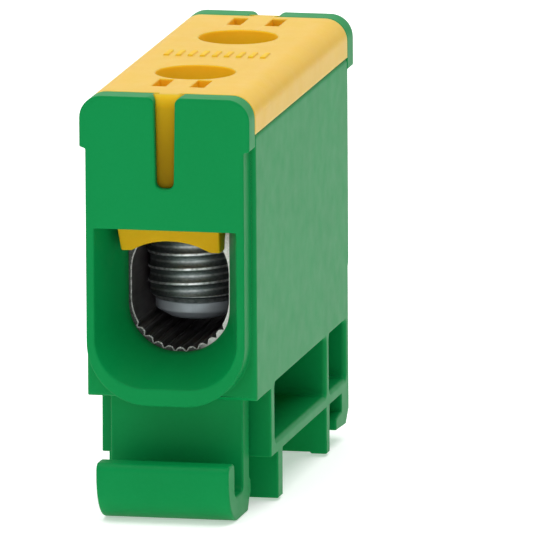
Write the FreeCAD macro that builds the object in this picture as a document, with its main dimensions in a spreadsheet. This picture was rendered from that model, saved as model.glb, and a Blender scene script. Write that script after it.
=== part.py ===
"""DIN-rail terminal block for one round conductor: moulded housing, clip-on cover, through-bored metal
connector, two clamping screws with pressure pads, and a sprung rail clip.

Frame: X across the block, Y from the front wire entry (-Y) to the rear one (+Y), Z up. The origin is the
centre of the mounting rail, on the plane where the rail's flanges bear. All sizes are millimetres.
"""

import FreeCAD, Part
import math
import os

import Sketcher
from FreeCAD import Placement, Rotation, Vector

DIMENSIONS = [
    ("block_width", 17.5, "overall width across the block, one module"),
    ("core_front", -22.75, "front face of the core"),
    ("core_back", 21.45, "back face of the core"),
    ("core_floor", 7.02, "underside of the core"),
    ("wall_top", 34.3, "top of the side walls, where the cover sits"),
    ("block_top", 38.3, "top of the cover"),
    ("core_edge", 0.5, "rounding of the core's upright edges"),
    ("plate_depth", 2.8, "thickness of each end plate"),
    ("plate_width", 16.3, "width of each end plate below its ears"),
    ("plate_top", 38.3, "top of the end plates"),
    ("ear_inner", 32.87, "lower edge of an ear where it meets the plate"),
    ("ear_outer", 33.07, "lower edge of an ear at the side of the block"),
    ("top_corner", 2.3, "rounding of the upper corners, plates and cover alike"),
    ("collar_bottom", 6.72, "lowest line of the collar round a wire window"),
    ("collar_corner", 6.3, "rounding of the collar's lower corners"),
    ("window_width", 14.7, "wire window, outer mouth"),
    ("window_top", 24.72, "upper edge of the wire window"),
    ("window_bottom", 8.45, "lower edge of the wire window"),
    ("window_corner", 5.0, "rounding of the window's lower corners"),
    ("neck_width", 10.9, "inner end of the funnel"),
    ("neck_bottom", 11.0, "lowest line of the funnel's inner end"),
    ("neck_corner", 5.0, "rounding of the funnel's inner lower corners"),
    ("funnel_depth", 5.4, "from the plate's face to the inner end of the funnel"),
    ("neck_depth", 7.05, "from the plate's face to the back of the neck, at the connector"),
    ("neck_back_width", 10.5, "back of the neck"),
    ("neck_back_bottom", 11.12, "lowest line of the neck's back"),
    ("neck_back_corner", 4.9, "rounding of the lower corners of the neck's back"),
    ("slot_width", 2.2, "slot in an end plate, at its mouth"),
    ("slot_foot_width", 1.86, "slot in an end plate, at its foot"),
    ("slot_foot", 28.95, "lowest line of the slot"),
    ("slot_flare", 0.7, "rounding at the mouth of the slot"),
    ("slot_corner", 0.7, "rounding at the foot of the slot"),
    ("cavity_width", 13.9, "chamber for the connector"),
    ("cavity_floor", 9.0, "floor of the chamber"),
    ("cavity_gap", 0.05, "gap between the connector and the chamber's end walls"),
    ("channel_width", 11.1, "channel for the cover's end walls"),
    ("channel_foot", 24.42, "floor of those channels, just below the window's upper edge"),
    ("overrun", 1.0, "how far a cut runs on past the face where it leaves the material"),
    ("rib_front", -16.0, "front face of the foot"),
    ("rib_front_back", -14.06, "back of the foot's front rib"),
    ("rib_mid", 10.33, "front of the middle rib"),
    ("rib_mid_back", 11.9, "back of the middle rib"),
    ("rib_rear", 19.9, "front of the rear rib"),
    ("foot_back", 21.5, "back of the foot at the hook"),
    ("opening_top", 7.18, "upper edge of the openings through the foot"),
    ("seat_depth", 1.27, "thickness of the bar that sits on the rail"),
    ("opening_corner", 0.5, "rounding of the openings' corners"),
    ("leg_front", -12.83, "front face of the front leg"),
    ("leg_front_back", -10.62, "back face of the front leg"),
    ("leg_length", 4.85, "how far the legs reach below the rail seat"),
    ("leg_relief", 0.17, "how much shorter the rear leg is in its middle"),
    ("leg_end_width", 1.7, "width of the longer ends of the rear leg"),
    ("hook_wall", 17.7, "inner wall of the fixed hook"),
    ("hook_tip", 15.03, "tip of the fixed hook"),
    ("hook_throat", 1.8, "height of the hook's throat at its wall"),
    ("hook_mouth", 2.2, "height of the hook's throat at its tip"),
    ("hook_bottom", 3.5, "how far the hook reaches below the rail seat"),
    ("hook_round", 1.75, "bevel at the hook's outer lower corner"),
    ("hook_lip", 0.2, "drop of the hook's underside from its tip to its bevel"),
    ("clip_front", -20.53, "front face of the rail clip's leaf"),
    ("clip_back", -17.7, "back face of the rail clip's leaf"),
    ("clip_width", 13.67, "width of the rail clip"),
    ("clip_bottom", 5.13, "how far the rail clip reaches below the rail seat"),
    ("clip_pocket_bottom", 2.6, "inner floor of the clip's tool pocket below the rail seat"),
    ("lip_front", -27.45, "front face of the clip's lip"),
    ("lip_back", -24.55, "back face of the clip's lip"),
    ("lip_top", 1.05, "top of the clip's lip above the rail seat"),
    ("lip_round", 4.6, "large rounding under the clip's lip"),
    ("lip_edge", 0.8, "rounding of the lip's front upper edge and of the pocket's rear corner"),
    ("lip_inner_edge", 0.7, "rounding of the lip's inner upper edge"),
    ("pocket_corner", 1.0, "rounding of the pocket's front corner"),
    ("leaf_heel", 0.6, "setback of the leaf's lower back corner"),
    ("leaf_heel_round", 0.4, "rounding of that corner"),
    ("nose_round", 0.25, "rounding of the catch's tip"),
    ("nose_tip", -16.95, "tip of the clip's catch"),
    ("nose_top", 1.6, "top of the catch's slope below the rail seat"),
    ("nose_upper", 2.15, "upper edge of the catch's tip below the rail seat"),
    ("nose_lower", 3.45, "lower edge of the catch's tip below the rail seat"),
    ("nose_bottom", 4.1, "where the catch runs out below the rail seat"),
    ("clip_gap", 0.09, "running gap round the clip's root"),
    ("cover_gap", 0.05, "gap between the cover and each end plate"),
    ("cover_skin", 2.2, "thickness of the cover's top"),
    ("flap_depth", 2.0, "thickness of the cover's end walls"),
    ("flap_width", 10.5, "cover end wall where it enters the window"),
    ("flap_foot_width", 10.16, "cover end wall at its lower edge"),
    ("flap_bottom", 22.1, "lower edge of the cover's end walls"),
    ("flap_root", 0.5, "how far an end wall reaches up into the cover's top"),
    ("arch_width", 8.1, "arch in the lower edge of an end wall"),
    ("arch_rise", 1.15, "height of that arch"),
    ("tongue_setback", 0.8, "from an end plate's face to the cover's tongue in its slot"),
    ("tongue_gap", 0.07, "gap between a tongue and the sides of its slot"),
    ("tongue_round", 1.7, "rounding of a tongue's upper outer edge"),
    ("screw_front", -10.84, "axis of the front screw"),
    ("screw_rear", 9.34, "axis of the rear screw"),
    ("access_width", 8.13, "diameter of the screwdriver holes"),
    ("marker_length", 4.0, "marker pocket, along the block"),
    ("marker_width", 1.5, "marker pocket, across the block"),
    ("marker_depth", 1.3, "depth of a marker pocket"),
    ("marker_pitch", 3.95, "between the two marker pockets of a pair"),
    ("marker_front", -17.15, "middle of the front pair of marker pockets"),
    ("marker_rear", 18.05, "middle of the rear pair of marker pockets"),
    ("bar_width", 0.55, "raised bar on the cover, across the block"),
    ("bar_length", 2.6, "length of the raised bars"),
    ("bar_height", 0.15, "height of the raised bars"),
    ("bar_pitch", 1.25, "between neighbouring bars"),
    ("bar_middle", -0.75, "middle of the row of bars along the block"),
    ("metal_width", 13.8, "width of the connector"),
    ("metal_front", -18.5, "front face of the connector"),
    ("metal_back", 17.15, "back face of the connector"),
    ("metal_top", 31.0, "top of the connector"),
    ("metal_edge", 0.8, "rounding of the connector's long edges"),
    ("bore_radius", 5.0, "half the width of the conductor bore"),
    ("bore_low", 16.5, "centre of the bore's lower half round"),
    ("bore_high", 19.2, "centre of the bore's upper half round"),
    ("tooth_depth", 0.38, "depth of the grooves in the bore's lower half"),
    ("tooth_mouth", 0.92, "width of each groove at the bore's surface"),
    ("tooth_count", 10, "number of grooves, the same on each side of the bore's lowest line"),
    ("tooth_pitch", 12.35, "angle between neighbouring grooves, degrees"),
    ("tooth_lead", 0.2, "how far above the bore's surface a groove's outline starts"),
    ("tooth_sink", 0.02, "how far below the bore's top of curve a groove's slopes start"),
    ("thread_radius", 4.98, "tapped holes for the screws"),
    ("screw_radius", 4.92, "outside of a clamping screw's thread"),
    ("screw_bottom", 15.4, "lower end of a clamping screw as drawn"),
    ("screw_length", 13.4, "length of a clamping screw"),
    ("screw_bevel", 0.7, "bevel at both ends of a clamping screw"),
    ("socket_flats", 5.0, "hexagon socket across its flats"),
    ("socket_depth", 5.0, "depth of the hexagon socket"),
    ("pad_radius", 4.15, "outside of a pressure pad"),
    ("pad_face", 2.75, "radius of the pad's flat face"),
    ("pad_height", 1.85, "height of a pressure pad without its pin"),
    ("pad_bevel", 0.85, "height of the bevel round the pad's face"),
    ("pad_gap", 0.05, "gap between a pad and its screw"),
    ("pin_radius", 1.95, "pin that the screw turns on"),
    ("pin_length", 1.6, "length of that pin"),
    ("recess_radius", 2.0, "recess in the screw for the pin"),
    ("recess_depth", 1.75, "depth of that recess"),
]

MAX_ERROR = 1e-4
BARS_EACH_SIDE = 4

document = FreeCAD.newDocument("TerminalBlock")
sheet = document.addObject("Spreadsheet::Sheet", "Sizes")
sheet.Label = "Sizes"
for row, (alias, size, meaning) in enumerate(DIMENSIONS, start=1):
    sheet.set(f"A{row}", meaning)
    sheet.set(f"B{row}", str(size))
    sheet.setAlias(f"B{row}", alias)
document.recompute()

ALIASES = {alias for alias, _, _ in DIMENSIONS}


def formula(text):
    """The text with every alias in it pointed at the sheet."""
    words = []
    for word in text.replace("(", " ( ").replace(")", " ) ").split():
        words.append(f"Sizes.{word}" if word in ALIASES else word)
    return " ".join(words)


def size(text):
    """The number that a formula gives."""
    return float(sheet.evalExpression(formula(text)))


def new_body(label):
    body = document.addObject("PartDesign::Body", label)
    body.Label = label
    return body


def sketch_on(body, name, role, offset=None, across=None, along=None):
    """A sketch on one of the body's own origin planes, moved along the plane's normal and in its plane."""
    plane = next(item for item in body.Origin.OriginFeatures if item.Role == role)
    sketch = body.newObject("Sketcher::SketchObject", name)
    sketch.AttachmentSupport = [(plane, "")]
    sketch.MapMode = "FlatFace"
    for axis, text in (("x", across), ("y", along), ("z", offset)):
        if text:
            sketch.setExpression(f"AttachmentOffset.Base.{axis}", formula(text))
    return sketch


def place(sketch, element, point, corner):
    """Holds one point of the sketch at a corner given by two formulas."""
    for kind, text in zip(("DistanceX", "DistanceY"), corner):
        number = sketch.addConstraint(Sketcher.Constraint(kind, element, point, size(text)))
        sketch.setExpression(f"Constraints[{number}]", formula(text))


def unit(vector):
    return vector / vector.Length


def corner_arc(before, corner, after, radius):
    """Where a rounding leaves a corner's two straight sides, its middle, and whether it turns left."""
    back = unit(before - corner)
    ahead = unit(after - corner)
    half_angle = back.getAngle(ahead) / 2
    reach = radius / math.tan(half_angle)
    middle = corner + unit(back + ahead) * (radius / math.sin(half_angle) - radius)
    turns_left = (corner - before).cross(after - corner).z > 0
    return corner + back * reach, middle, corner + ahead * reach, turns_left


def outline(sketch, corners):
    """A closed outline through corners given as pairs of formulas; a third formula rounds its corner."""
    points = [Vector(size(corner[0]), size(corner[1]), 0) for corner in corners]
    count = len(corners)
    arcs = {}
    for number, corner in enumerate(corners):
        if len(corner) == 3:
            after = points[(number + 1) % count]
            arcs[number] = corner_arc(points[number - 1], points[number], after, size(corner[2]))
    sides = []
    for number in range(count):
        following = (number + 1) % count
        start = arcs[number][2] if number in arcs else points[number]
        end = arcs[following][0] if following in arcs else points[following]
        sides.append(sketch.addGeometry(Part.LineSegment(start, end), False))
    for number, corner in enumerate(corners):
        side_in = sides[number - 1]
        side_out = sides[number]
        if number not in arcs:
            sketch.addConstraint(Sketcher.Constraint("Coincident", side_in, 2, side_out, 1))
            place(sketch, side_out, 1, corner)
            continue
        leave, middle, join, turns_left = arcs[number]
        ends = (leave, join) if turns_left else (join, leave)
        arc = sketch.addGeometry(Part.Arc(ends[0], middle, ends[1]), False)
        tip = sketch.addGeometry(Part.Point(points[number]), True)
        sketch.addConstraint(Sketcher.Constraint("Tangent", side_in, 2, arc, 1 if turns_left else 2))
        sketch.addConstraint(Sketcher.Constraint("Tangent", side_out, 1, arc, 2 if turns_left else 1))
        bend = sketch.addConstraint(Sketcher.Constraint("Radius", arc, size(corner[2])))
        sketch.setExpression(f"Constraints[{bend}]", formula(corner[2]))
        sketch.addConstraint(Sketcher.Constraint("PointOnObject", tip, 1, side_in))
        sketch.addConstraint(Sketcher.Constraint("PointOnObject", tip, 1, side_out))
        place(sketch, tip, 1, corner[:2])


def rectangle(sketch, left, right, low, high):
    outline(sketch, [(left, low), (right, low), (right, high), (left, high)])


def circle(sketch, centre, radius):
    middle = Vector(size(centre[0]), size(centre[1]), 0)
    number = sketch.addGeometry(Part.Circle(middle, Vector(0, 0, 1), size(radius)), False)
    place(sketch, number, 3, centre)
    rim = sketch.addConstraint(Sketcher.Constraint("Radius", number, size(radius)))
    sketch.setExpression(f"Constraints[{rim}]", formula(radius))


def pad(body, sketch, length, symmetric=False, reverse=False):
    feature = body.newObject("PartDesign::Pad", sketch.Name + "Pad")
    feature.Profile = sketch
    feature.setExpression("Length", formula(length))
    feature.SideType = "Symmetric" if symmetric else "One side"
    feature.Reversed = reverse
    document.recompute()
    return feature


def cut(body, sketch, length, symmetric=False, reverse=False):
    """A pocket that has to take material away."""
    before = body.Shape.Volume
    feature = body.newObject("PartDesign::Pocket", sketch.Name + "Cut")
    feature.Profile = sketch
    feature.setExpression("Length", formula(length))
    feature.SideType = "Symmetric" if symmetric else "One side"
    feature.Reversed = reverse
    document.recompute()
    if body.Shape.Volume > before - MAX_ERROR:
        raise SystemExit(f"{body.Label}: {feature.Name} takes nothing away")
    return feature


def edges_where(feature, test):
    """Names of the feature's straight edges whose two ends both pass the test."""
    names = []
    for number, edge in enumerate(feature.Shape.Edges, start=1):
        ends = [vertex.Point for vertex in edge.Vertexes]
        if len(ends) == 2 and all(test(end) for end in ends) and isinstance(edge.Curve, Part.Line):
            names.append(f"Edge{number}")
    return names


def near(value, text):
    return abs(value - size(text)) < 1e-3


def dress(body, name, test, amount):
    """A fillet on the straight edges that pass the test."""
    base = body.Tip
    names = edges_where(base, test)
    if not names:
        raise SystemExit(f"{body.Label}: no edge for {name}")
    feature = body.newObject("PartDesign::Fillet", name)
    feature.Base = (base, names)
    feature.setExpression("Radius", formula(amount))
    document.recompute()
    return feature


def at_lines(places, axes="yz"):
    """A test for points on any of the lines given by two formulas, in the two named axes."""
    def test(point):
        pair = [getattr(point, axis) for axis in axes]
        return any(near(pair[0], one) and near(pair[1], two) for one, two in places)
    return test


# Each end of the block: the core's end face, the outer face of its end plate and its outward side along Y.
ENDS = {
    "front": ("core_front", "core_front - plate_depth", -1),
    "rear": ("core_back", "core_back + plate_depth", 1),
}


def end_sketch(body, name, end, inward):
    """A sketch across the block at a distance inward from an end plate's outer face."""
    _, face, side = ENDS[end]
    level = f"{face} - ( {side} * ( {inward} ) )"
    return sketch_on(body, name, "XZ_Plane", offset=f"-1 * ( {level} )")


def add_core(body):
    """The core and the foot, one profile seen from the side."""
    profile = sketch_on(body, "Side", "YZ_Plane")
    outline(profile, [
        ("core_front", "wall_top"),
        ("core_front", "core_floor"),
        ("rib_front", "core_floor"),
        ("rib_front", "0"),
        ("leg_front", "0"),
        ("leg_front", "-1 * leg_length"),
        ("leg_front_back", "-1 * leg_length"),
        ("leg_front_back", "0"),
        ("rib_mid", "0"),
        ("rib_mid", "-1 * leg_length"),
        ("rib_mid_back", "-1 * leg_length"),
        ("rib_mid_back", "0"),
        ("hook_wall", "0"),
        ("hook_wall", "-1 * hook_throat"),
        ("hook_tip", "-1 * hook_mouth"),
        ("hook_tip", "-1 * hook_bottom + hook_lip"),
        ("foot_back - hook_round", "-1 * hook_bottom"),
        ("foot_back", "-1 * hook_bottom + hook_round"),
        ("foot_back", "0"),
        ("core_back", "core_floor"),
        ("core_back", "wall_top"),
    ])
    pad(body, profile, "block_width", symmetric=True)

    openings = sketch_on(body, "FootOpenings", "YZ_Plane")
    rectangle(openings, "rib_front_back", "rib_mid", "seat_depth", "opening_top")
    rectangle(openings, "rib_mid_back", "rib_rear", "seat_depth", "opening_top")
    cut(body, openings, "block_width + 2 * overrun", symmetric=True)
    corners = [(across, up) for across in ("rib_front_back", "rib_mid", "rib_mid_back", "rib_rear")
               for up in ("seat_depth", "opening_top")]
    dress(body, "OpeningCorners", at_lines(corners), "opening_corner")

    relief = sketch_on(body, "LegRelief", "XY_Plane", offset="-1 * leg_length")
    rectangle(relief, "-1 * block_width / 2 + leg_end_width", "block_width / 2 - leg_end_width",
              "rib_mid - overrun", "rib_mid_back + overrun")
    cut(body, relief, "leg_relief", reverse=True)

    def upright_corner(point):
        return abs(abs(point.x) - size("block_width / 2")) < 1e-3 and (
            near(point.y, "core_front") or near(point.y, "core_back")) and point.z > size("core_floor") - 0.01
    dress(body, "CoreEdges", upright_corner, "core_edge")


def mirrored(right):
    """The corners of the right half, from the bottom up, and the same corners on the left."""
    return right + [(f"-1 * ( {corner[0]} )",) + tuple(corner[1:]) for corner in reversed(right)]


def add_plate(body, end):
    """An end plate with its two ears; its lower part is the collar round the wire window."""
    profile = end_sketch(body, f"{end}Plate", end, "0")
    outline(profile, mirrored([
        ("plate_width / 2", "collar_bottom", "collar_corner"),
        ("plate_width / 2", "ear_inner"),
        ("block_width / 2", "ear_outer"),
        ("block_width / 2", "plate_top", "top_corner"),
    ]))
    pad(body, profile, "plate_depth", reverse=(end == "front"))


def add_cavity(body):
    """The chamber for the connector and, at each end of it, the channel for a cover end wall."""
    chamber = sketch_on(body, "Chamber", "XY_Plane", offset="wall_top + overrun")
    rectangle(chamber, "-1 * cavity_width / 2", "cavity_width / 2",
              "metal_front - cavity_gap", "metal_back + cavity_gap")
    cut(body, chamber, "wall_top + overrun - cavity_floor")
    channels = sketch_on(body, "Channels", "XY_Plane", offset="wall_top + overrun")
    rectangle(channels, "-1 * channel_width / 2", "channel_width / 2", "core_front", "metal_front + overrun")
    rectangle(channels, "-1 * channel_width / 2", "channel_width / 2", "metal_back - overrun", "core_back")
    cut(body, channels, "wall_top + overrun - channel_foot")


def rounded_u(sketch, width, low, top, corner):
    """A closed outline with a flat top, straight sides and two rounded lower corners."""
    outline(sketch, mirrored([(f"{width} / 2", low, corner), (f"{width} / 2", top)]))


def add_wire_entry(body, end):
    """The funnel from the window to the connector's mouth."""
    mouth = end_sketch(body, f"{end}Mouth", end, "0")
    rounded_u(mouth, "window_width", "window_bottom", "window_top", "window_corner")
    inner = end_sketch(body, f"{end}Inner", end, "funnel_depth")
    rounded_u(inner, "neck_width", "neck_bottom", "window_top", "neck_corner")
    back = end_sketch(body, f"{end}Back", end, "neck_depth")
    rounded_u(back, "neck_back_width", "neck_back_bottom", "window_top", "neck_back_corner")
    before = body.Shape.Volume
    funnel = body.newObject("PartDesign::SubtractiveLoft", f"{end}Funnel")
    funnel.Profile = mouth
    funnel.Sections = [inner, back]
    funnel.Ruled = True
    document.recompute()
    if body.Shape.Volume > before - MAX_ERROR:
        raise SystemExit(f"{end} funnel takes nothing away")


def add_slot(body, end):
    """The slot down the middle of an end plate, where a tongue of the cover goes in from above."""
    slot = end_sketch(body, f"{end}Slot", end, "-1 * overrun")
    outline(slot, mirrored([
        ("slot_foot_width / 2", "slot_foot", "slot_corner"),
        ("slot_width / 2", "plate_top", "slot_flare"),
        ("slot_width / 2 + 3 * overrun", "plate_top"),
        ("slot_width / 2 + 3 * overrun", "plate_top + overrun"),
    ]))
    cut(body, slot, "plate_depth + overrun", reverse=(end == "rear"))


def make_housing():
    body = new_body("housing")
    add_core(body)
    for end in ENDS:
        add_plate(body, end)
    add_cavity(body)
    for end in ENDS:
        add_wire_entry(body, end)
        add_slot(body, end)
    socket = sketch_on(body, "ClipSocket", "YZ_Plane")
    circle(socket, ("( clip_front + clip_back ) / 2", "core_floor"),
           "( clip_back - clip_front ) / 2 + clip_gap")
    cut(body, socket, "clip_width + 2 * clip_gap", symmetric=True)
    return body


def add_end_wall(body, end):
    """An end wall of the cover: it goes down behind the end plate and shows as a flap in the wire window."""
    core_face, _, side = ENDS[end]
    wall = sketch_on(body, f"{end}Wall", "XZ_Plane", offset=f"-1 * ( {core_face} - {side} * cover_gap )")
    outline(wall, mirrored([
        ("flap_foot_width / 2", "flap_bottom"),
        ("flap_width / 2", "window_top"),
        ("flap_width / 2", "wall_top + flap_root"),
    ]))
    pad(body, wall, "flap_depth", reverse=(end == "front"))


def add_tongue(body, end):
    """The tongue on an end wall that fills the slot in the end plate; its upper outer edge is rounded."""
    core_face, plate_face, side = ENDS[end]
    root = f"{core_face} - {side} * flap_depth / 2"
    tongue = sketch_on(body, f"{end}Tongue", "XZ_Plane", offset=f"-1 * ( {root} )")
    outline(tongue, mirrored([
        ("slot_foot_width / 2 - tongue_gap", "slot_foot + tongue_gap", "slot_corner"),
        ("slot_width / 2 - tongue_gap", "block_top"),
    ]))
    pad(body, tongue, "plate_depth - tongue_setback + flap_depth / 2", reverse=(end == "rear"))
    outer_face = f"{plate_face} - {side} * tongue_setback"
    dress(body, f"{end}TongueEdge", at_lines([(outer_face, "block_top")]), "tongue_round")


def make_cover():
    body = new_body("cover")
    profile = sketch_on(body, "Cap", "XZ_Plane", offset="-1 * ( core_front + cover_gap )")
    outline(profile, mirrored([
        ("block_width / 2", "wall_top"),
        ("block_width / 2", "block_top", "top_corner"),
    ]))
    pad(body, profile, "core_back - core_front - 2 * cover_gap", reverse=True)

    hollow = sketch_on(body, "Hollow", "XY_Plane", offset="wall_top - overrun")
    rectangle(hollow, "-1 * cavity_width / 2", "cavity_width / 2",
              "core_front + cover_gap + flap_depth", "core_back - cover_gap - flap_depth")
    cut(body, hollow, "block_top - cover_skin - wall_top + overrun", reverse=True)

    for end in ENDS:
        add_end_wall(body, end)
        add_tongue(body, end)
    arch = sketch_on(body, "Arches", "XZ_Plane")
    arch_radius = "( arch_width * arch_width / 4 + arch_rise * arch_rise ) / ( 2 * arch_rise )"
    circle(arch, ("0", f"flap_bottom + arch_rise - {arch_radius}"), arch_radius)
    cut(body, arch, "2 * ( core_back - core_front )", symmetric=True)

    access = sketch_on(body, "ScrewAccess", "XY_Plane", offset="block_top + overrun")
    for axis in ("screw_front", "screw_rear"):
        circle(access, ("0", axis), "access_width / 2")
    cut(body, access, "cover_skin + 2 * overrun")

    markers = sketch_on(body, "MarkerPockets", "XY_Plane", offset="block_top + overrun")
    for centre in ("marker_front", "marker_rear"):
        for side in (-1, 1):
            middle = f"{side} * marker_pitch / 2"
            rectangle(markers, f"{middle} - marker_width / 2", f"{middle} + marker_width / 2",
                      f"{centre} - marker_length / 2", f"{centre} + marker_length / 2")
    cut(body, markers, "marker_depth + overrun")

    bars = sketch_on(body, "RaisedBars", "XY_Plane", offset="block_top")
    for place_in_row in range(-BARS_EACH_SIDE, BARS_EACH_SIDE + 1):
        middle = f"{place_in_row} * bar_pitch"
        rectangle(bars, f"{middle} - bar_width / 2", f"{middle} + bar_width / 2",
                  "bar_middle - bar_length / 2", "bar_middle + bar_length / 2")
    pad(body, bars, "bar_height")
    return body


def make_connector():
    body = new_body("connector_body")
    block = sketch_on(body, "Block", "XZ_Plane", offset="-1 * metal_front")
    outline(block, mirrored([
        ("metal_width / 2", "cavity_floor", "metal_edge"),
        ("metal_width / 2", "metal_top", "metal_edge"),
    ]))
    pad(body, block, "metal_back - metal_front", reverse=True)

    bore = sketch_on(body, "Bore", "XZ_Plane", offset="-1 * ( metal_front - overrun )")
    radius = size("bore_radius")
    low = size("bore_low")
    high = size("bore_high")
    bore.addGeometry([
        Part.Arc(Vector(radius, high, 0), Vector(0, high + radius, 0), Vector(-radius, high, 0)),
        Part.LineSegment(Vector(-radius, high, 0), Vector(-radius, low, 0)),
        Part.Arc(Vector(-radius, low, 0), Vector(0, low - radius, 0), Vector(radius, low, 0)),
        Part.LineSegment(Vector(radius, low, 0), Vector(radius, high, 0)),
    ], False)
    for joint in ((0, 2, 1, 1), (1, 2, 2, 1), (2, 2, 3, 1), (3, 2, 0, 1)):
        bore.addConstraint(Sketcher.Constraint("Tangent", *joint))
    for arc, level in ((0, "bore_high"), (2, "bore_low")):
        place(bore, arc, 3, ("0", level))
        bend = bore.addConstraint(Sketcher.Constraint("Radius", arc, radius))
        bore.setExpression(f"Constraints[{bend}]", formula("bore_radius"))
    cut(body, bore, "metal_back - metal_front + 2 * overrun")

    groove = sketch_on(body, "Groove", "XZ_Plane", offset="-1 * ( metal_front - overrun )", along="bore_low")
    groove.setExpression("AttachmentOffset.Rotation.Angle", formula("tooth_pitch / 2"))
    outline(groove, mirrored([
        ("tooth_mouth / 2", "-1 * bore_radius + tooth_lead"),
        ("tooth_mouth / 2", "-1 * bore_radius + tooth_sink"),
    ]) + [("0", "-1 * bore_radius - tooth_depth")])
    first = cut(body, groove, "metal_back - metal_front + 2 * overrun")
    single = body.Shape.Volume
    for name, backwards, steps in (
        ("GroovesRight", False, "tooth_count / 2 - 1"),
        ("GroovesLeft", True, "tooth_count / 2"),
    ):
        pattern = body.newObject("PartDesign::PolarPattern", name)
        pattern.Originals = [first]
        pattern.Axis = (groove, ["N_Axis"])
        pattern.Reversed = backwards
        pattern.setExpression("Angle", formula(f"( {steps} ) * tooth_pitch"))
        pattern.setExpression("Occurrences", formula(f"{steps} + 1"))
        body.Tip = pattern
        document.recompute()
    if body.Shape.Volume > single - MAX_ERROR:
        raise SystemExit("the groove pattern takes nothing away")

    holes = sketch_on(body, "TappedHoles", "XY_Plane", offset="metal_top + overrun")
    for axis in ("screw_front", "screw_rear"):
        circle(holes, ("0", axis), "thread_radius")
    cut(body, holes, "metal_top + overrun - bore_high")
    return body


def turned(body, name, half_profile):
    """A solid of revolution about the body's own Z axis."""
    profile = sketch_on(body, name, "XZ_Plane")
    outline(profile, half_profile)
    feature = body.newObject("PartDesign::Revolution", name + "Turned")
    feature.Profile = profile
    feature.ReferenceAxis = (profile, ["V_Axis"])
    feature.Angle = 360
    document.recompute()
    return feature


def stand(body, axis, level):
    """Puts a body that was made about its own axis at its place in the block."""
    body.setExpression("Placement.Base.y", formula(axis))
    body.setExpression("Placement.Base.z", formula(level))
    document.recompute()


def make_screw(label, axis):
    """A clamping screw: the outside is the thread's outer cylinder, with a hexagon socket on top."""
    body = new_body(label)
    turned(body, "Shank", [
        ("0", "0"),
        ("screw_radius - screw_bevel", "0"),
        ("screw_radius", "screw_bevel"),
        ("screw_radius", "screw_length - screw_bevel"),
        ("screw_radius - screw_bevel", "screw_length"),
        ("0", "screw_length"),
    ])
    socket = sketch_on(body, "Socket", "XY_Plane", offset="screw_length")
    across = size("socket_flats") / math.sqrt(3)
    angles = [math.radians(60 * step) for step in range(6)]
    corners = [Vector(across * math.cos(angle), across * math.sin(angle), 0) for angle in angles]
    for start, end in zip(corners, corners[1:] + corners[:1]):
        socket.addGeometry(Part.LineSegment(start, end), False)
    for number, angle in enumerate(angles):
        socket.addConstraint(Sketcher.Constraint("Coincident", number, 2, (number + 1) % 6, 1))
        place(socket, number, 1, (f"socket_flats * {math.cos(angle) / math.sqrt(3):.9f}",
                                  f"socket_flats * {math.sin(angle) / math.sqrt(3):.9f}"))
    cut(body, socket, "socket_depth")
    recess = sketch_on(body, "PadRecess", "XY_Plane")
    circle(recess, ("0", "0"), "recess_radius")
    cut(body, recess, "recess_depth", reverse=True)
    stand(body, axis, "screw_bottom")
    return body


def make_pad(label, axis):
    """A pressure pad: it bears on the conductor while the screw turns on its pin."""
    body = new_body(label)
    turned(body, "Pad", [
        ("0", "0"),
        ("pad_face", "0"),
        ("pad_radius", "pad_bevel"),
        ("pad_radius", "pad_height"),
        ("pin_radius", "pad_height"),
        ("pin_radius", "pad_height + pin_length"),
        ("0", "pad_height + pin_length"),
    ])
    stand(body, axis, "screw_bottom - pad_gap - pad_height")
    return body


def make_clip():
    """The sprung rail clip: a leaf with a catch behind it and a pocket for a screwdriver in front."""
    body = new_body("rail_clip")
    profile = sketch_on(body, "Leaf", "YZ_Plane")
    outline(profile, [
        ("clip_back", "core_floor"),
        ("clip_front", "core_floor"),
        ("clip_front", "-1 * clip_pocket_bottom", "lip_edge"),
        ("lip_back", "-1 * clip_pocket_bottom", "pocket_corner"),
        ("lip_back", "lip_top", "lip_inner_edge"),
        ("lip_front", "lip_top", "lip_edge"),
        ("lip_front", "-1 * clip_bottom", "lip_round"),
        ("clip_back - leaf_heel", "-1 * clip_bottom", "leaf_heel_round"),
        ("clip_back", "-1 * nose_bottom"),
        ("nose_tip", "-1 * nose_lower", "nose_round"),
        ("nose_tip", "-1 * nose_upper", "nose_round"),
        ("clip_back", "-1 * nose_top"),
    ])
    pad(body, profile, "clip_width", symmetric=True)
    root = sketch_on(body, "Root", "YZ_Plane")
    circle(root, ("( clip_front + clip_back ) / 2", "core_floor"), "( clip_back - clip_front ) / 2")
    pad(body, root, "clip_width", symmetric=True)
    return body


def make_parts():
    return [
        make_housing(),
        make_cover(),
        make_connector(),
        make_screw("front_clamp_screw", "screw_front"),
        make_screw("rear_clamp_screw", "screw_rear"),
        make_pad("front_pressure_pad", "screw_front"),
        make_pad("rear_pressure_pad", "screw_rear"),
        make_clip(),
    ]


def export(bodies):
    """Checks every object and every sub-part, then writes one file for each sub-part."""
    document.recompute()
    for item in document.Objects:
        if "Invalid" in item.State or "Error" in item.State:
            raise SystemExit(f"{item.Label} failed: {item.State}")
    for body in bodies:
        shape = body.Shape
        if shape.isNull() or not shape.isValid() or len(shape.Solids) != 1:
            raise SystemExit(f"{body.Label} is not one valid solid")
        print(f"{body.Label}: {shape.Volume:.1f} mm3, box {shape.BoundBox}")
    os.makedirs("parts", exist_ok=True)
    for body in bodies:
        body.Shape.exportStep(f"parts/{body.Label}.step")


export(make_parts())
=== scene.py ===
"""The looks of a DIN-rail terminal block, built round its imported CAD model."""

import math

import bmesh
import bpy
from mathutils import Matrix, Vector


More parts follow.
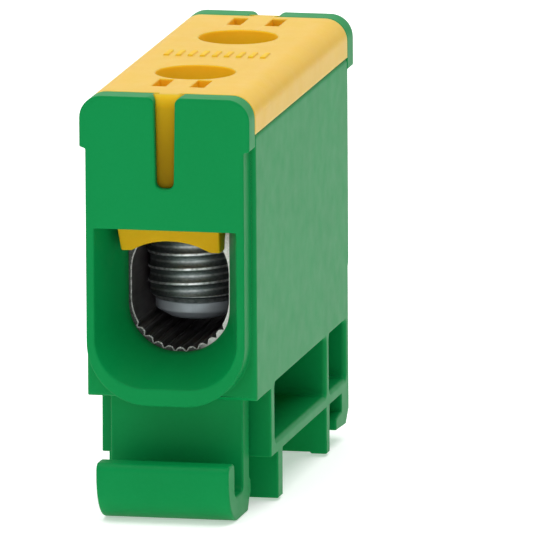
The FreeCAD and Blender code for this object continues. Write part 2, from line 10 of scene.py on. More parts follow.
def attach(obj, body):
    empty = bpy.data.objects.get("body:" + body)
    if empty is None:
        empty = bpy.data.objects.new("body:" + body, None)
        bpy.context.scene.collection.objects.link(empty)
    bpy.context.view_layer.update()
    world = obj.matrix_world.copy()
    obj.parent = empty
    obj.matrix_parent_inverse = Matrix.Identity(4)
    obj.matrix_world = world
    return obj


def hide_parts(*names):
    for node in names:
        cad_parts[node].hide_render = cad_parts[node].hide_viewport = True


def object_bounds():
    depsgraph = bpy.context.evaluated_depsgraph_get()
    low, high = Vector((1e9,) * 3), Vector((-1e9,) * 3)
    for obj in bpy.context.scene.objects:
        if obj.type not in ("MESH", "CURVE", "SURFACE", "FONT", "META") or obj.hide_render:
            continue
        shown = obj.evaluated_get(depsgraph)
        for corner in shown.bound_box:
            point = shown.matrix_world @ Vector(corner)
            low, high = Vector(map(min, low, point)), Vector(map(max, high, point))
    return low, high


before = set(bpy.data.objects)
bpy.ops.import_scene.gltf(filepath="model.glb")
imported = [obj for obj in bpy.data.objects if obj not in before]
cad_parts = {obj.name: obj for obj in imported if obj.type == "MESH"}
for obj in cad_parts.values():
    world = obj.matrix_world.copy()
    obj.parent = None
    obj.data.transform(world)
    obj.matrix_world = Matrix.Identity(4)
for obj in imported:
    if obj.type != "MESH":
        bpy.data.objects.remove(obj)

CAD_LOW, CAD_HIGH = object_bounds()
MM = 0.001

# The way out along Y at each end, and the middle between the two end plates.
OUT = {"front": -1, "rear": 1}
END_MIDDLE = -0.65 * MM

# ---------------------------------------------------------------- camera
# The middle of the rail seat is the frame's origin. The camera stands far off on a line through it, behind a
# long lens, and aims at a point beside and above it.
CAMERA_TURN = math.radians(12.496)
CAMERA_DIP = math.radians(11.214)
CAMERA_ROLL = math.radians(0.370)
CAMERA_DISTANCE = 2.421
LENS_MM = 1600.0
SENSOR_MM = 36
NEAREST, FARTHEST = 0.05, 20
AIM_RIGHT = 4.79 * MM
AIM_UP = 15.85 * MM


def make_camera():
    """The camera, to the right of the block's front and a little above it, rolled a little."""
    turn, dip = CAMERA_TURN, CAMERA_DIP
    right = Vector((math.cos(turn), math.sin(turn), 0))
    up = Vector((-math.sin(turn) * math.sin(dip), math.cos(turn) * math.sin(dip), math.cos(dip)))
    forward = Vector((-math.sin(turn) * math.cos(dip), math.cos(turn) * math.cos(dip), -math.sin(dip)))
    rolled = Matrix.Rotation(CAMERA_ROLL, 3, forward)
    right, up = rolled @ right, rolled @ up
    place = -forward * CAMERA_DISTANCE
    target = right * AIM_RIGHT + up * AIM_UP
    back = (place - target).normalized()
    side = up.cross(back).normalized()
    top = back.cross(side)
    data = bpy.data.cameras.new("camera")
    data.lens = LENS_MM
    data.sensor_width = SENSOR_MM
    data.clip_start = NEAREST
    data.clip_end = FARTHEST
    camera = bpy.data.objects.new("camera", data)
    camera.matrix_world = Matrix((
        (side.x, top.x, back.x, place.x),
        (side.y, top.y, back.y, place.y),
        (side.z, top.z, back.z, place.z),
        (0, 0, 0, 1),
    ))
    bpy.context.scene.collection.objects.link(camera)
    bpy.context.scene.camera = camera


# ---------------------------------------------------------------- light and floor
SURROUND_STRENGTH = 0.22
PAPER_STRENGTH = 1.1
FLOOR_HALF = 6.0
FLOOR_ALBEDO = 0.93
FLOOR_GLOW = 0.42
MATT = 0.95
WHITE = (1, 1, 1)


def make_area(name, location, target, size, power, colour=WHITE):
    """A rectangular soft box at location that faces target; power is in watts."""
    data = bpy.data.lights.new(name, "AREA")
    data.shape = "RECTANGLE"
    data.size, data.size_y = size
    data.energy = power
    data.color = colour
    light = bpy.data.objects.new(name, data)
    light.location = location
    light.rotation_mode = "QUATERNION"
    light.rotation_quaternion = (Vector(target) - Vector(location)).to_track_quat("-Z", "Y")
    bpy.context.scene.collection.objects.link(light)


def make_studio():
    """A dim surround that the camera sees as white paper, a wide soft box overhead and weaker ones around."""
    world = bpy.data.worlds.new("studio")
    world.use_nodes = True
    nodes, links = world.node_tree.nodes, world.node_tree.links
    surround = nodes["Background"]
    surround.inputs["Color"].default_value = (*WHITE, 1)
    surround.inputs["Strength"].default_value = SURROUND_STRENGTH
    paper = nodes.new("ShaderNodeBackground")
    paper.inputs["Color"].default_value = (*WHITE, 1)
    paper.inputs["Strength"].default_value = PAPER_STRENGTH
    seen = nodes.new("ShaderNodeLightPath").outputs["Is Camera Ray"]
    choose = nodes.new("ShaderNodeMixShader")
    links.new(seen, choose.inputs["Fac"])
    links.new(surround.outputs["Background"], choose.inputs[1])
    links.new(paper.outputs["Background"], choose.inputs[2])
    links.new(choose.outputs["Shader"], nodes["World Output"].inputs["Surface"])
    bpy.context.scene.world = world
    make_area("overhead", (0.0, 0.02, 0.60), (0, 0, 0), size=(0.75, 0.75), power=4.35)
    make_area("front_left", (-0.22, -0.50, 0.48), (0, 0, 0.015), size=(0.40, 0.40), power=0.7,
              colour=(1, 0.99, 0.97))
    make_area("front_fill", (0.08, -0.90, 0.13), (0, 0, 0.015), size=(0.80, 0.30), power=0.8)
    make_area("backdrop", (0.0, 0.90, 0.33), (0, 0, 0.03), size=(1.60, 0.50), power=2.4)


def make_floor():
    """A wide sheet of white paper under the legs, which glows weakly so that it stays white."""
    mesh = bpy.data.meshes.new("floor")
    corners = [(x * FLOOR_HALF, y * FLOOR_HALF, CAD_LOW.z) for x, y in ((-1, -1), (1, -1), (1, 1), (-1, 1))]
    mesh.from_pydata(corners, [], [(0, 1, 2, 3)])
    floor = bpy.data.objects.new("floor", mesh)
    bpy.context.scene.collection.objects.link(floor)
    material = bpy.data.materials.new("floor_paper")
    material.use_nodes = True
    shader = material.node_tree.nodes["Principled BSDF"]
    shader.inputs["Base Color"].default_value = (FLOOR_ALBEDO, FLOOR_ALBEDO, FLOOR_ALBEDO, 1)
    shader.inputs["Roughness"].default_value = MATT
    shader.inputs["Specular IOR Level"].default_value = 0.0
    shader.inputs["Emission Color"].default_value = (*WHITE, 1)
    shader.inputs["Emission Strength"].default_value = FLOOR_GLOW
    mesh.materials.append(material)


# ---------------------------------------------------------------- shader building blocks
class Shader:
    """A new material's node tree with short calls for the nodes that the surfaces here share."""

    def __init__(self, name):
        self.material = bpy.data.materials.new(name)
        self.material.use_nodes = True
        self.tree = self.material.node_tree
        self.surface = self.tree.nodes["Principled BSDF"]

    def node(self, kind, **settings):
        """A new node with some of its settings changed."""
        made = self.tree.nodes.new(kind)
        for key, value in settings.items():
            setattr(made, key, value)
        return made

    def feed(self, target, value):
        """Links an output to the socket, or sets the socket to a number."""
        if isinstance(value, bpy.types.NodeSocket):
            self.tree.links.new(value, target)
        else:
            target.default_value = value

    def noise(self, size_mm, stretch=(1, 1, 1), detail=3.0):
        """Noise whose grains are about size_mm across, drawn out along the axes with a stretch below 1."""
        where = self.node("ShaderNodeTexCoord").outputs["Object"]
        mapping = self.node("ShaderNodeMapping")
        mapping.inputs["Scale"].default_value = stretch
        self.feed(mapping.inputs["Vector"], where)
        texture = self.node("ShaderNodeTexNoise")
        self.feed(texture.inputs["Vector"], mapping.outputs["Vector"])
        texture.inputs["Scale"].default_value = 1 / (size_mm * MM)
        texture.inputs["Detail"].default_value = detail
        return texture.outputs["Fac"]

    def span(self, value, low, high, low_out=0.0, high_out=1.0):
        """Maps low..high to low_out..high_out and stops at both ends."""
        change = self.node("ShaderNodeMapRange", clamp=True)
        self.feed(change.inputs["Value"], value)
        for key, number in (("From Min", low), ("From Max", high), ("To Min", low_out), ("To Max", high_out)):
            change.inputs[key].default_value = number
        return change.outputs["Result"]

    def math(self, operation, first, second):
        """The result of a sum, product or other operation on two outputs or numbers."""
        step = self.node("ShaderNodeMath", operation=operation)
        self.feed(step.inputs[0], first)
        self.feed(step.inputs[1], second)
        return step.outputs[0]

    def blend(self, amount, first, second):
        """first where amount is 0, second where it is 1; a colour may be a tuple or an output."""
        mix = self.node("ShaderNodeMix", data_type="RGBA")
        self.feed(mix.inputs["Factor"], amount)
        self.feed(mix.inputs["A"], first if isinstance(first, bpy.types.NodeSocket) else (*first, 1))
        self.feed(mix.inputs["B"], second if isinstance(second, bpy.types.NodeSocket) else (*second, 1))
        return mix.outputs["Result"]

    def edges(self, radius_mm, sensitivity):
        """1 along convex and concave edges, 0 on open faces."""
        rounded = self.node("ShaderNodeBevel", samples=6)
        rounded.inputs["Radius"].default_value = radius_mm * MM
        true_normal = self.node("ShaderNodeNewGeometry").outputs["Normal"]
        alike = self.node("ShaderNodeVectorMath", operation="DOT_PRODUCT")
        self.feed(alike.inputs[0], rounded.outputs["Normal"])
        self.feed(alike.inputs[1], true_normal)
        return self.span(alike.outputs["Value"], 1.0, 1.0 - sensitivity)

    def bumps(self, *layers, soft_mm=0.0):
        """Stacks bump layers, each a height output with its depth in mm and its strength, over edges that are
        softened by soft_mm."""
        normal = None
        if soft_mm:
            rounded = self.node("ShaderNodeBevel", samples=8)
            rounded.inputs["Radius"].default_value = soft_mm * MM
            normal = rounded.outputs["Normal"]
        for height, depth_mm, strength in layers:
            bump = self.node("ShaderNodeBump")
            bump.inputs["Strength"].default_value = strength
            bump.inputs["Distance"].default_value = depth_mm * MM
            self.feed(bump.inputs["Height"], height)
            if normal:
                self.feed(bump.inputs["Normal"], normal)
            normal = bump.outputs["Normal"]
        self.feed(self.surface.inputs["Normal"], normal)

    def position(self, axis):
        """The place on the object along the X, Y or Z axis, in metres."""
        split = self.node("ShaderNodeSeparateXYZ")
        self.feed(split.inputs[0], self.node("ShaderNodeTexCoord").outputs["Object"])
        return split.outputs[axis]


# ---------------------------------------------------------------- materials
END_REACH = 22.2 * MM
SHADE_LOW = 22 * MM
SHADE_HIGH = 39 * MM
SHADE_STOPS = ((0.0, 0.30), (0.17, 0.34), (0.30, 0.85), (0.48, 0.84), (0.66, 0.68), (0.88, 0.36), (0.96, 0.0))
# Colour of the painted glow, an orange emission on the walls inside the cover's openings.
PAINTED_GLOW_COLOUR = (0.30, 0.162, 0.006)
GLOW_DEPTH = 2.0 * MM
GLOW_TINT = (1.0, 0.45, 0.06)
SOFT_EDGE_MM = 0.32
# Along X the connector's end faces go from painted shade to painted light between these two places.
PAINTED_LIGHT_FROM = 1.8 * MM
PAINTED_LIGHT_TO = 3.6 * MM


def sheltered(make):
    """How far the cover's end faces lie in the shade of the end plates: 0 in the open, 1 in full shade."""
    away = make.math("ABSOLUTE", make.math("SUBTRACT", make.position("Y"), END_MIDDLE), 0.0)
    at_end = make.math("GREATER_THAN", away, END_REACH)
    ramp = make.node("ShaderNodeValToRGB")
    make.feed(ramp.inputs["Fac"], make.span(make.position("Z"), SHADE_LOW, SHADE_HIGH))
    stops = ramp.color_ramp.elements
    stops[-1].position = SHADE_STOPS[-1][0]
    for place, _ in SHADE_STOPS[1:-1]:
        stops.new(place)
    for stop, (_, amount) in zip(stops, SHADE_STOPS):
        stop.color = (amount, amount, amount, 1)
    return make.math("MULTIPLY", at_end, ramp.outputs["Color"])


def moulded_plastic(name, colour, deep, pale_wear_and_highlight, gloss, shine, glow=0.0, shaded=None, painted_glow_strength=0.0):
    """Moulded polyamide: a fine grain, a slow colour drift, paler edges that are partly wear and partly a
    painted edge highlight, and softened edges.
    colour drifts to deep; the pale colour after deep tints the speckle and the rubbed edges. glow is the
    weight of the subsurface light, shaded the colour of the painted shade on the end faces under the end
    plates, and the last number the strength of an orange emission, a painted glow for the light that comes
    through."""
    make = Shader(name)
    surface = make.surface
    drift = make.span(make.noise(9.0, (1, 1, 0.8)), 0.3, 0.7)
    speckle = make.span(make.noise(0.35, detail=4.0), 0.35, 0.75)
    tone = make.blend(make.math("MULTIPLY", drift, 0.4), colour, deep)
    tone = make.blend(make.math("MULTIPLY", speckle, 0.10), tone, pale_wear_and_highlight)
    # Paler edges, partly wear and partly a painted edge highlight.
    rubbed_and_highlit_edges = make.math("MULTIPLY", make.edges(0.16, 0.25), make.span(make.noise(1.6), 0.35, 0.6, 0.35, 1.0))
    tone = make.blend(make.math("MULTIPLY", rubbed_and_highlit_edges, 0.32), tone, pale_wear_and_highlight)
    if shaded:
        tone = make.blend(sheltered(make), tone, shaded)
    # A painted glow: an orange emission standing in for light that comes through the plastic.
    if painted_glow_strength:
        surface.inputs["Emission Color"].default_value = (*PAINTED_GLOW_COLOUR, 1)
        surface.inputs["Emission Strength"].default_value = painted_glow_strength
    make.feed(surface.inputs["Base Color"], tone)
    rough = make.span(make.noise(2.2, detail=5.0), 0.25, 0.75, gloss - 0.03, gloss + 0.05)
    make.feed(surface.inputs["Roughness"], make.math("SUBTRACT", rough, make.math("MULTIPLY", rubbed_and_highlit_edges, 0.08)))
    surface.inputs["Specular IOR Level"].default_value = shine
    surface.inputs["Subsurface Weight"].default_value = glow
    surface.inputs["Subsurface Scale"].default_value = GLOW_DEPTH
    surface.inputs["Subsurface Radius"].default_value = GLOW_TINT
    make.bumps(
        (make.noise(5.0, (1, 1, 0.6), 2.0), 0.005, 0.12),
        (make.noise(0.13, detail=2.0), 0.003, 0.15),
        soft_mm=SOFT_EDGE_MM,
    )
    return make.material


def bright_metal(name, colour, dull, roughness, lines, metallic=1.0, rubbed_and_highlit_edges=0.5):
    """Plated metal with faint stains that turn colour to dull, paler edges that are partly rubbed and partly
    a painted edge highlight, and a drawn grain.
    lines is the grain's stretch along each axis."""
    make = Shader(name)
    surface = make.surface
    surface.inputs["Metallic"].default_value = metallic
    stain = make.span(make.noise(2.6, detail=4.0), 0.35, 0.7)
    streak = make.noise(0.12, lines, 3.0)
    tone = make.blend(make.math("MULTIPLY", stain, 0.7), colour, dull)
    # Paler edges, partly rubbed and partly a painted edge highlight.
    tone = make.blend(make.math("MULTIPLY", make.edges(0.12, 0.3), rubbed_and_highlit_edges), tone, (0.95, 0.95, 0.93))
    make.feed(surface.inputs["Base Color"], tone)
    rough = make.span(streak, 0.3, 0.7, roughness - 0.06, roughness + 0.10)
    make.feed(surface.inputs["Roughness"], rough)
    make.bumps((streak, 0.006, 0.35), (make.noise(0.5), 0.004, 0.2))
    return make.material


def cut_face(name):
    """Sawn aluminium with painted light: painted shade towards -X, painted light towards +X, and a rough
    bright burr along its edges that is partly a painted highlight.
    """
    make = Shader(name)
    surface = make.surface
    surface.inputs["Metallic"].default_value = 0.15
    # Painted shade towards -X, painted light towards +X.
    painted_light_side = make.span(make.position("X"), PAINTED_LIGHT_FROM, PAINTED_LIGHT_TO)
    speckle = make.span(make.noise(0.22, detail=4.0), 0.36, 0.62)
    painted_shade_tone = make.blend(speckle, (0.010, 0.012, 0.011), (0.075, 0.085, 0.078))
    tone = make.blend(painted_light_side, painted_shade_tone, make.blend(speckle, (0.80, 0.78, 0.76), (1.0, 0.99, 0.97)))
    # A rough bright burr along the edges, partly a painted highlight.
    ragged = make.span(make.noise(0.16, detail=3.0), 0.34, 0.50, 0.30, 1)
    burr_and_highlight = make.math("MULTIPLY", make.edges(0.22, 0.05), ragged)
    make.feed(surface.inputs["Base Color"], make.blend(burr_and_highlight, tone, (1.0, 1.0, 0.98)))
    make.feed(surface.inputs["Roughness"], make.span(speckle, 0, 1, 0.42, 0.62))
    make.bumps((make.noise(0.2, detail=3.0), 0.02, 0.5))
    return make.material


def threaded_steel(name):
    """Zinc-plated steel with painted highlight lines: bright along the thread crests, partly as wear, and
    weaker along the roots.
    """
    make = Shader(name)
    surface = make.surface
    surface.inputs["Metallic"].default_value = 1
    crest = make.node("ShaderNodeAttribute", attribute_name="crest").outputs["Fac"]
    grime = make.span(make.noise(0.28, (1, 1, 2), 4.0), 0.36, 0.64)
    tone = make.blend(make.span(crest, 0.1, 0.9), (0.15, 0.18, 0.182), (0.13, 0.157, 0.158))
    tone = make.blend(make.math("MULTIPLY", grime, 0.45), tone, (0.27, 0.30, 0.30))
    chips = make.span(make.noise(0.5), 0.3, 0.6, 0.35, 1)
    # Painted highlight lines along the crests, partly wear, and weaker ones along the roots.
    pale_wear_and_highlight = make.math("MAXIMUM", make.span(crest, 0.84, 0.97), make.span(crest, 0.14, 0.04, 0.0, 0.5))
    tone = make.blend(make.math("MULTIPLY", pale_wear_and_highlight, chips), tone, (0.88, 0.92, 0.92))
    make.feed(surface.inputs["Base Color"], tone)
    make.feed(surface.inputs["Roughness"], make.span(make.noise(0.4, detail=4.0), 0.3, 0.7, 0.42, 0.56))
    make.bumps((make.noise(0.08, (1, 1, 3)), 0.004, 0.35))
    return make.material


def yellow_painted_glow(name, painted_glow_strength):
    """The yellow of the walls inside the cover's openings, with an orange emission as a painted glow for the
    light that comes through the plastic.
    """
    return moulded_plastic(name, (0.74, 0.42, 0.010), (0.68, 0.37, 0.006), (0.84, 0.55, 0.06),
                           gloss=0.42, shine=0.15, glow=0.45, painted_glow_strength=painted_glow_strength)


GREEN = moulded_plastic("green_polyamide", (0.0010, 0.255, 0.062), (0.0005, 0.218, 0.050),
                        (0.012, 0.31, 0.10), gloss=0.42, shine=0.075)
YELLOW = moulded_plastic("yellow_polyamide", (0.73, 0.44, 0.010), (0.67, 0.39, 0.006), (0.84, 0.58, 0.12),
                         gloss=0.40, shine=0.25, glow=0.45, shaded=(0.21, 0.115, 0.0015))
YELLOW_SHADED = moulded_plastic("yellow_polyamide_matt", (0.71, 0.43, 0.008), (0.66, 0.385, 0.005),
                                (0.80, 0.54, 0.05), gloss=0.50, shine=0.05, glow=0.35,
                                shaded=(0.20, 0.112, 0.0008))
# The walls of the screwdriver holes and of the pockets carry a painted glow, the holes more.
YELLOW_PAINTED_GLOW = yellow_painted_glow("yellow_polyamide_painted_glow", painted_glow_strength=0.86)
YELLOW_POCKETS = yellow_painted_glow("yellow_polyamide_pockets", painted_glow_strength=0.30)
YELLOW_BARS = moulded_plastic("yellow_polyamide_bars", (0.80, 0.47, 0.012), (0.76, 0.43, 0.008),
                              (0.84, 0.58, 0.12), gloss=0.50, shine=0.10, glow=0.45)
PLATED = bright_metal("plated_aluminium", (0.80, 0.80, 0.79), (0.58, 0.58, 0.57), roughness=0.30,
                      lines=(1, 0.04, 1))
# The bore's wall is coloured dark, a painted shade inside the bore.
BORED = bright_metal("bored_aluminium", (0.130, 0.116, 0.122), (0.064, 0.056, 0.060), roughness=0.60,
                     lines=(1, 0.03, 1), metallic=0.6, rubbed_and_highlit_edges=0.08)
CUT_FACE = cut_face("sawn_aluminium")
PAD_STEEL = bright_metal("blue_grey_zinc", (0.47, 0.52, 0.565), (0.39, 0.435, 0.48), roughness=0.60,
                         lines=(1, 1, 0.2), metallic=0.5)
SCREW_STEEL = threaded_steel("zinc_steel")


# ---------------------------------------------------------------- moulded and machined pieces
BEVEL_ANGLE = math.radians(32)
BEVEL_SEGMENTS = 3
NORMAL_WEIGHT = 90
FLAT_ANGLE = math.radians(0.05)
WELD_GAP = 0.001 * MM


def add_object(name, mesh):
    """A new object in the scene with the mesh."""
    piece = bpy.data.objects.new(name, mesh)
    bpy.context.scene.collection.objects.link(piece)
    return piece


def hand_over(piece, body, node=None):
    """Ties a piece to its moving body, and hides the CAD node that it stands for."""
    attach(piece, body)
    if node:
        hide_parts(node)
    return piece


def round_edges(piece, width):
    """Rounds the sharp edges and keeps the flat faces shaded flat."""
    bevel = piece.modifiers.new("edges", "BEVEL")
    bevel.limit_method = "ANGLE"
    bevel.angle_limit = BEVEL_ANGLE
    bevel.width = width
    bevel.segments = BEVEL_SEGMENTS
    bevel.use_clamp_overlap = False
    bevel.harden_normals = True
    bevel.miter_outer = "MITER_ARC"
    normals = piece.modifiers.new("normals", "WEIGHTED_NORMAL")
    normals.mode = "FACE_AREA"
    normals.weight = NORMAL_WEIGHT
    normals.keep_sharp = True


def join_rings(work, rings):
    """Faces from each closed ring of vertices to the next one."""
    for lower, upper in zip(rings, rings[1:]):
        for first in range(len(lower)):
            second = (first + 1) % len(lower)
            work.faces.new((lower[first], lower[second], upper[second], upper[first]))


def loft(outlines):
    """A closed surface through outlines that have the same number of corners."""
    work = bmesh.new()
    rings = [[work.verts.new(corner) for corner in outline] for outline in outlines]
    join_rings(work, rings)
    work.faces.new(rings[0][::-1])
    work.faces.new(rings[-1])
    return work


def closed_mesh(work, name, material, sharp_angle=None):
    """The mesh of a closed surface, shaded smooth, with the edges past sharp_angle kept sharp."""
    bmesh.ops.recalc_face_normals(work, faces=work.faces)
    for face in work.faces:
        face.smooth = True
    if sharp_angle:
        for edge in work.edges:
            edge.smooth = edge.calc_face_angle(0) < sharp_angle
    mesh = bpy.data.meshes.new(name)
    work.to_mesh(mesh)
    work.free()
    mesh.materials.append(material)
    return mesh


def softened(name, node, body, materials, width, pick=None, holed=False):
    """A copy of a CAD node whose flat faces are whole again and whose sharp edges are rounded.
    pick chooses each face's material by its centre and normal; a holed plate is cut into convex faces."""
    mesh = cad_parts[node].data.copy()
    mesh.name = name
    mesh.materials.clear()
    for material in materials:
        mesh.materials.append(material)
    work = bmesh.new()
    work.from_mesh(mesh)
    bmesh.ops.remove_doubles(work, verts=work.verts, dist=WELD_GAP)
    bmesh.ops.dissolve_limit(work, angle_limit=FLAT_ANGLE, verts=work.verts, edges=work.edges)
    bmesh.ops.connect_verts_nonplanar(work, angle_limit=FLAT_ANGLE, faces=work.faces)
    if holed:
        bmesh.ops.connect_verts_concave(work, faces=work.faces)
    for face in work.faces:
        face.smooth = True
        face.material_index = pick(face.calc_center_median(), face.normal) if pick else 0
    work.to_mesh(mesh)
    work.free()
    piece = add_object(name, mesh)
    round_edges(piece, width)
    return hand_over(piece, body, node)


FACING = 0.5
SCREW_AXES = {"front": -10.84 * MM, "rear": 9.34 * MM}
HOLE_REACH = 4.4 * MM
POCKET_REACH = Vector((6.9, 20.5)) * MM
BAR_FOOT = 38.31 * MM
GROOVE_REACH = 5.5 * MM
BORE_LOW = 16.5 * MM
BORE_HIGH = 19.2 * MM


def connector_zone(centre, normal):
    """1 for the wall of the conductor bore and its grooves, 2 for the end faces, 0 elsewhere."""
    if abs(normal.y) > FACING:
        return 2
    level = min(max(centre.z, BORE_LOW), BORE_HIGH)
    return 1 if math.hypot(centre.x, centre.z - level) < GROOVE_REACH else 0


def cover_zone(centre, normal):
    """1 for the screwdriver holes' walls, 2 for the raised bars, 3 for the pockets' walls, 0 elsewhere."""
    if centre.z > BAR_FOOT:
        return 2
    inside = abs(centre.x) < POCKET_REACH.x and abs(centre.y - END_MIDDLE) < POCKET_REACH.y
    if not inside or abs(normal.z) > FACING:
        return 0
    near = min(math.hypot(centre.x, centre.y - axis) for axis in SCREW_AXES.values())
    return 1 if near < HOLE_REACH else 3


# ---------------------------------------------------------------- catch wedges of the cover
FLAP_REACH = 22.05 * MM
FLAP_FOOT = 22.1 * MM
FLAP_HALF = 5.08 * MM
FLAP_TOP_HALF = 5.24 * MM
WEDGE_TOP = 24.64 * MM
WEDGE_FOOT_RISE = 0.20 * MM
WEDGE_SLOPE = 0.47
ARCH_HALF = 4.05 * MM
ARCH_RISE = 1.15 * MM
WEDGE_OVERLAP = 0.3 * MM
WEDGE_EDGE = 0.14 * MM
WEDGE_COLUMNS = 48


def arch_height(across):
    """Height of the flap's arched lower edge above its foot, at a distance from the middle."""
    radius = (ARCH_HALF ** 2 + ARCH_RISE ** 2) / (2 * ARCH_RISE)
    if abs(across) >= ARCH_HALF:
        return 0.0
    return math.sqrt(radius ** 2 - across ** 2) - (radius - ARCH_RISE)


def catch_wedge(end):
    """The wedge on a flap that springs under the upper edge of the wire window."""
    out = OUT[end]
    face = END_MIDDLE + out * FLAP_REACH
    outlines = []
    for step in range(WEDGE_COLUMNS + 1):
        share = 2 * step / WEDGE_COLUMNS - 1
        front, back = [], []
        for level in (FLAP_FOOT + arch_height(share * FLAP_HALF), WEDGE_TOP):
            climb = (level - FLAP_FOOT) / (WEDGE_TOP - FLAP_FOOT)
            across = share * (FLAP_HALF + (FLAP_TOP_HALF - FLAP_HALF) * climb)
            rise = WEDGE_FOOT_RISE + WEDGE_SLOPE * (level - FLAP_FOOT)
            front.append((across, face + out * rise, level))
            back.append((across, face - out * WEDGE_OVERLAP, level))
        outlines.append(front + back[::-1])
    piece = add_object(f"{end}_catch", closed_mesh(loft(outlines), f"{end}_catch", YELLOW_SHADED))
    round_edges(piece, WEDGE_EDGE)
    return hand_over(piece, "cover")


# ---------------------------------------------------------------- tongues of the cover
TONGUE_REACH = 24.10 * MM
TONGUE_DEPTH = 1.3 * MM
TONGUE_SET_IN = 0.20 * MM
SLOT_FOOT = 28.95 * MM
SLOT_FOOT_HALF = 0.93 * MM
SLOT_HALF = 1.10 * MM
SLOT_CORNER = 0.70 * MM
SLOT_FLARE = 0.70 * MM
PLATE_TOP = 38.30 * MM
TONGUE_TOP = 38.28 * MM
SKIN_GAP = 0.015 * MM
SKIN_LEAST_HALF = 0.05 * MM
SKIN_OVERLAP = 0.3 * MM
SKIN_SHARP = math.radians(40)
STEM_LOW = SLOT_FOOT + 0.8 * MM
STEM_HIGH = TONGUE_TOP - 1.0 * MM
CROWN_HEIGHT = 1.4 * MM
FOOT_ROWS, STEM_ROWS, CROWN_ROWS = 10, 12, 14


def slot_half(level):
    """Half width of the slot in the end plate at a level: a round foot, a slight taper, a flared mouth."""
    half = SLOT_FOOT_HALF + (SLOT_HALF - SLOT_FOOT_HALF) * (level - SLOT_FOOT) / (PLATE_TOP - SLOT_FOOT)
    low = SLOT_CORNER - (level - SLOT_FOOT)
    if low > 0:
        half -= SLOT_CORNER - math.sqrt(max(SLOT_CORNER ** 2 - low ** 2, 0))
    high = SLOT_FLARE - (PLATE_TOP - level)
    if high > 0:
        half += SLOT_FLARE - math.sqrt(max(SLOT_FLARE ** 2 - high ** 2, 0))
    return half


def skin_levels():
    """The heights of a skin's rows, which lie closer in the round foot and in the crown than in the stem."""
    foot = [SLOT_FOOT + SKIN_GAP + SLOT_CORNER * (1 - math.cos(math.pi / 2 * step / FOOT_ROWS))
            for step in range(FOOT_ROWS + 1)]
    stem = [STEM_LOW + (STEM_HIGH - STEM_LOW) * step / STEM_ROWS for step in range(1, STEM_ROWS)]
    crown = [TONGUE_TOP - CROWN_HEIGHT * (1 - step / CROWN_ROWS) for step in range(CROWN_ROWS + 1)]
    return foot + stem + crown


def tongue_skin(end):
    """The outer layer of a tongue, which fills its slot and rounds over into the cover's top."""
    out = OUT[end]
    face = END_MIDDLE + out * TONGUE_REACH
    inner = face - out * (TONGUE_DEPTH + SKIN_OVERLAP)
    outlines = []
    for level in skin_levels():
        half = max(slot_half(level) - SKIN_GAP, SKIN_LEAST_HALF)
        lean = max(level - (TONGUE_TOP - TONGUE_DEPTH), 0)
        outer = face - out * (TONGUE_DEPTH - math.sqrt(max(TONGUE_DEPTH ** 2 - lean ** 2, 0)))
        corners = ((-half, inner), (-half, outer), (half, outer), (half, inner))
        outlines.append([(across, along, level) for across, along in corners])
    mesh = closed_mesh(loft(outlines), f"{end}_tongue", YELLOW_SHADED, SKIN_SHARP)
    return hand_over(add_object(f"{end}_tongue", mesh), "cover")


def set_tongues_in(piece):
    """Moves the moulding's own tongues in under their skins."""
    for vert in piece.data.vertices:
        for out in OUT.values():
            past = (vert.co.y - END_MIDDLE) * out - TONGUE_REACH + TONGUE_SET_IN
            if past > 0:
                vert.co.y -= out * past


# ---------------------------------------------------------------- clamping screws
SCREW_BOTTOM = 15.4 * MM
SCREW_LENGTH = 13.4 * MM
PITCH = 1.5 * MM
CREST = 4.92 * MM
ROOT = 4.66 * MM
FLANK = 0.45
CREST_FLAT = 0.05 * MM
FRONT_CREST = 15.93 * MM
EASE_POWER = 1.5
EASE_RATE = 2.2
END_BEVEL = 0.70 * MM
SOCKET_FLATS = 5.0 * MM
SOCKET_DEPTH = 5.0 * MM
SOCKET_FLARE = 1.07
SOCKET_FLARE_DEPTH = 0.18 * MM
DRILL_POINT = 0.7 * MM
SIDES = 6
RECESS = 2.0 * MM
RECESS_DEPTH = 1.75 * MM
COLUMNS = 120
ROWS_PER_TURN = 22


def thread_radius(level, angle):
    """Radius of a right-hand thread, with a crest at FRONT_CREST on the side that faces -Y.
    The flanks run out into a rounded root."""
    turns = (level - FRONT_CREST) / PITCH - (angle + math.pi / 2) / math.tau
    away = abs(turns - round(turns)) * PITCH
    drop = FLANK * max(away - CREST_FLAT, 0)
    depth = CREST - ROOT
    eased = depth * (1 - math.exp(-((drop / depth) ** EASE_POWER) * EASE_RATE)) if drop else 0.0
    return CREST - min(eased, depth)


def hexagon(angle):
    """Distance from the axis to the socket's wall at an angle."""
    side = math.tau / SIDES
    return SOCKET_FLATS / 2 / math.cos(angle % side - side / 2)


def screw_rings():
    """The screw's surface in rings, from its recess round to its socket.
    Each ring is its radius as a function of the angle, its level, and whether it is a sharp edge."""
    top = SCREW_BOTTOM + SCREW_LENGTH
    rings = [
        (lambda angle: RECESS, SCREW_BOTTOM + RECESS_DEPTH, True),
        (lambda angle: RECESS, SCREW_BOTTOM, True),
    ]
    count = round(SCREW_LENGTH / PITCH * ROWS_PER_TURN)
    for row in range(count + 1):
        level = SCREW_BOTTOM + SCREW_LENGTH * row / count
        bevelled = CREST - END_BEVEL + min(level - SCREW_BOTTOM, top - level, END_BEVEL)
        rings.append((
            lambda angle, level=level, limit=bevelled: min(thread_radius(level, angle), limit),
            level, row in (0, count)))
    rings += [
        (lambda angle: SOCKET_FLARE * hexagon(angle), top, True),
        (hexagon, top - SOCKET_FLARE_DEPTH, True),
        (hexagon, top - SOCKET_DEPTH, True),
    ]
    return rings


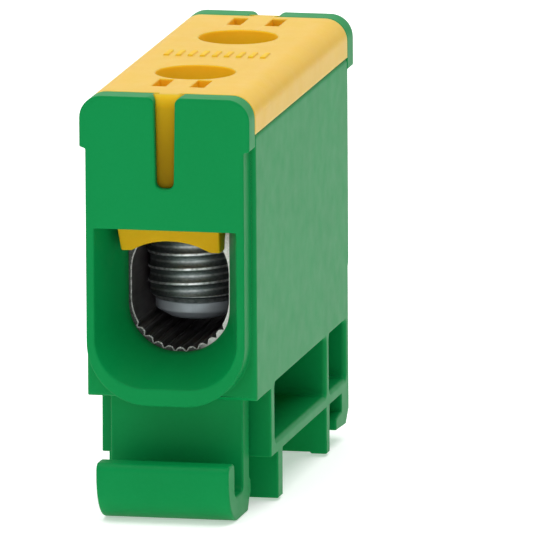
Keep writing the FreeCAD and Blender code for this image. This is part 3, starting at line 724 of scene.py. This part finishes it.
def make_screw(name, node, body, axis_y):
    """A threaded screw round a vertical axis, with a recess for its pad and a socket in its head."""
    profile = screw_rings()
    work = bmesh.new()
    crest_layer = work.verts.layers.float.new("crest")
    rings = []
    for radius_at, level, _ in profile:
        ring = []
        for column in range(COLUMNS):
            angle = math.tau * column / COLUMNS
            radius = radius_at(angle)
            vert = work.verts.new((radius * math.cos(angle), axis_y + radius * math.sin(angle), level))
            vert[crest_layer] = max(0.0, (radius - ROOT) / (CREST - ROOT))
            ring.append(vert)
        rings.append(ring)
    join_rings(work, rings)
    first, last = rings[0], rings[-1]
    bottom = work.verts.new((0, axis_y, profile[0][1]))
    top = work.verts.new((0, axis_y, profile[-1][1] - DRILL_POINT))
    for column in range(COLUMNS):
        after = (column + 1) % COLUMNS
        work.faces.new((first[after], first[column], bottom))
        work.faces.new((last[column], last[after], top))
    for (_, _, sharp), ring in zip(profile, rings):
        if sharp:
            for column in range(COLUMNS):
                work.edges.get((ring[column], ring[(column + 1) % COLUMNS])).smooth = False
    for lower, upper in zip(rings[-3:], rings[-2:]):
        for column in range(0, COLUMNS, COLUMNS // SIDES):
            work.edges.get((lower[column], upper[column])).smooth = False
    mesh = closed_mesh(work, name, SCREW_STEEL)
    return hand_over(add_object(name, mesh), body, node)


# ---------------------------------------------------------------- the whole block
make_camera()
make_studio()
make_floor()

softened("housing_moulding", "housing", "block", [GREEN], width=0.13 * MM)
cover = softened("cover_moulding", "cover", "cover",
                 [YELLOW, YELLOW_PAINTED_GLOW, YELLOW_BARS, YELLOW_POCKETS],
                 width=0.06 * MM, pick=cover_zone, holed=True)
set_tongues_in(cover)
for end in OUT:
    tongue_skin(end)
    catch_wedge(end)
softened("connector_block", "connector_body", "block", [PLATED, BORED, CUT_FACE],
         width=0.06 * MM, pick=connector_zone)
softened("clip_leaf", "rail_clip", "rail_clip", [GREEN], width=0.20 * MM)
for end, axis in SCREW_AXES.items():
    make_screw(f"{end}_screw", f"{end}_clamp_screw", f"{end}_screw", axis)
    softened(f"{end}_pad_piece", f"{end}_pressure_pad", f"{end}_pad", [PAD_STEEL],
             width=0.12 * MM)

bpy.context.scene.view_settings.view_transform = "Standard"
